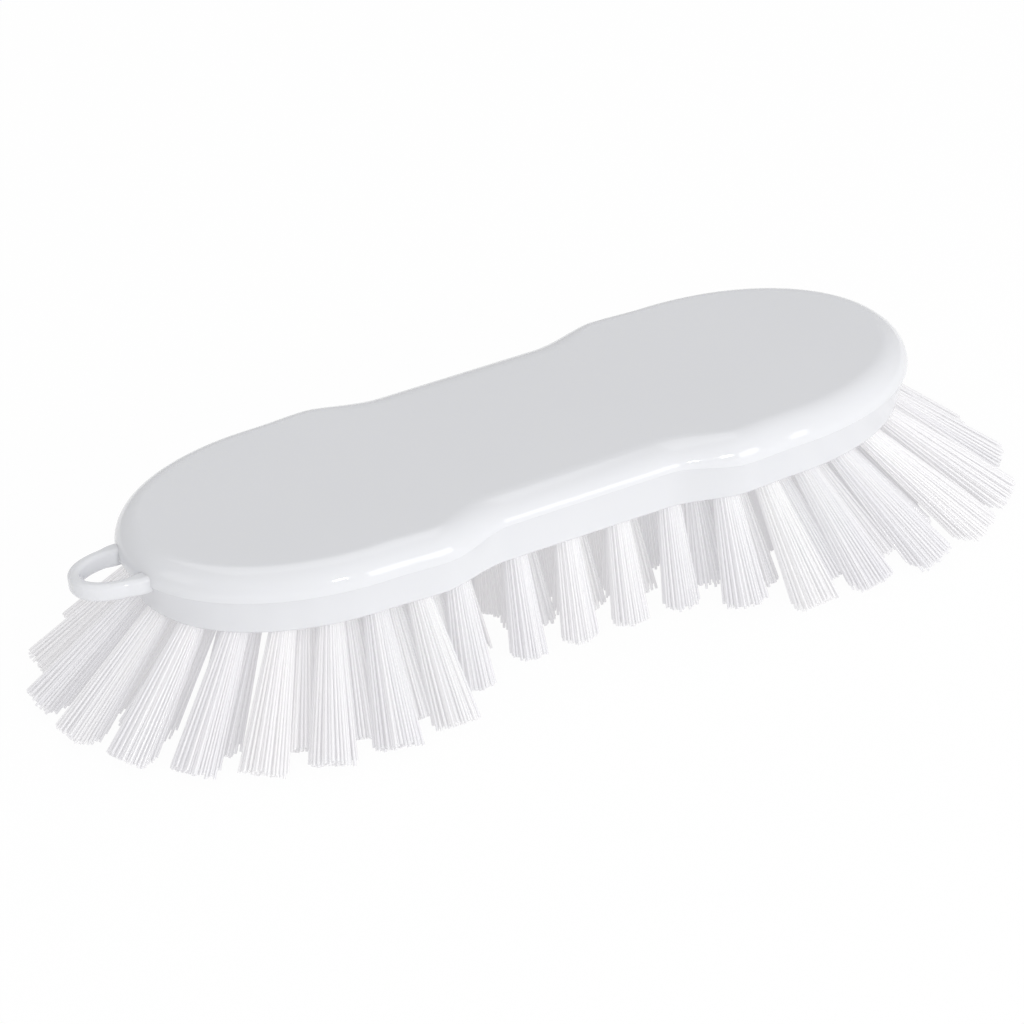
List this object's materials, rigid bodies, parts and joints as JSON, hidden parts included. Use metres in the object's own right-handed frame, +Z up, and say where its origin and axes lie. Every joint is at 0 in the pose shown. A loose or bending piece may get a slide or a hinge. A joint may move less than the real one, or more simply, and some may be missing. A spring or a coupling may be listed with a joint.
{
  "type": "scrub brush",
  "caption": "Double-wing hand scrub brush: a waisted moulded block with a hanging loop, and splayed filament tufts trimmed flat below it.",
  "frame": {"origin": "under the middle of the block, on the plane of the trimmed tips that the brush stands on", "axes": "+X along the block away from the hanging loop, +Y across it, +Z up out of the top face"},
  "size_m": [0.2378, 0.104, 0.0411],
  "materials": {
    "block": "smooth moulded polypropylene, glossy",
    "filament": "translucent stiff polyester filament",
    "anchor_wire": "flat stainless wire"
  },
  "bodies": {
    "root": {"block": "block", "outer_tuft_01": "filament", "outer_tuft_02": "filament", "outer_tuft_03": "filament", "outer_tuft_04": "filament", "outer_tuft_05": "filament", "outer_tuft_06": "filament", "outer_tuft_07": "filament", "outer_tuft_08": "filament", "outer_tuft_09": "filament", "outer_tuft_10": "filament", "outer_tuft_11": "filament", "outer_tuft_12": "filament", "outer_tuft_13": "filament", "outer_tuft_14": "filament", "outer_tuft_15": "filament", "outer_tuft_16": "filament", "outer_tuft_17": "filament", "outer_tuft_18": "filament", "outer_tuft_19": "filament", "outer_tuft_20": "filament", "outer_tuft_21": "filament", "outer_tuft_22": "filament", "outer_tuft_23": "filament", "outer_tuft_24": "filament", "outer_tuft_25": "filament", "outer_tuft_26": "filament", "outer_tuft_27": "filament", "outer_tuft_28": "filament", "outer_tuft_29": "filament", "outer_tuft_30": "filament", "outer_tuft_31": "filament", "outer_tuft_32": "filament", "outer_tuft_33": "filament", "outer_tuft_34": "filament", "outer_tuft_35": "filament", "outer_tuft_36": "filament", "outer_tuft_37": "filament", "outer_tuft_38": "filament", "second_row_tufts_left_wing": "filament", "second_row_tufts_waist": "filament", "second_row_tufts_right_wing": "filament", "inner_row_tufts_left_wing": "filament", "inner_row_tufts_waist": "filament", "inner_row_tufts_right_wing": "filament", "centre_tufts_left_wing": "filament", "centre_tufts_right_wing": "filament", "outer_row_anchors": "anchor_wire", "second_row_anchors": "anchor_wire", "inner_row_anchors": "anchor_wire", "centre_anchors": "anchor_wire"}
  },
  "joints": []
}
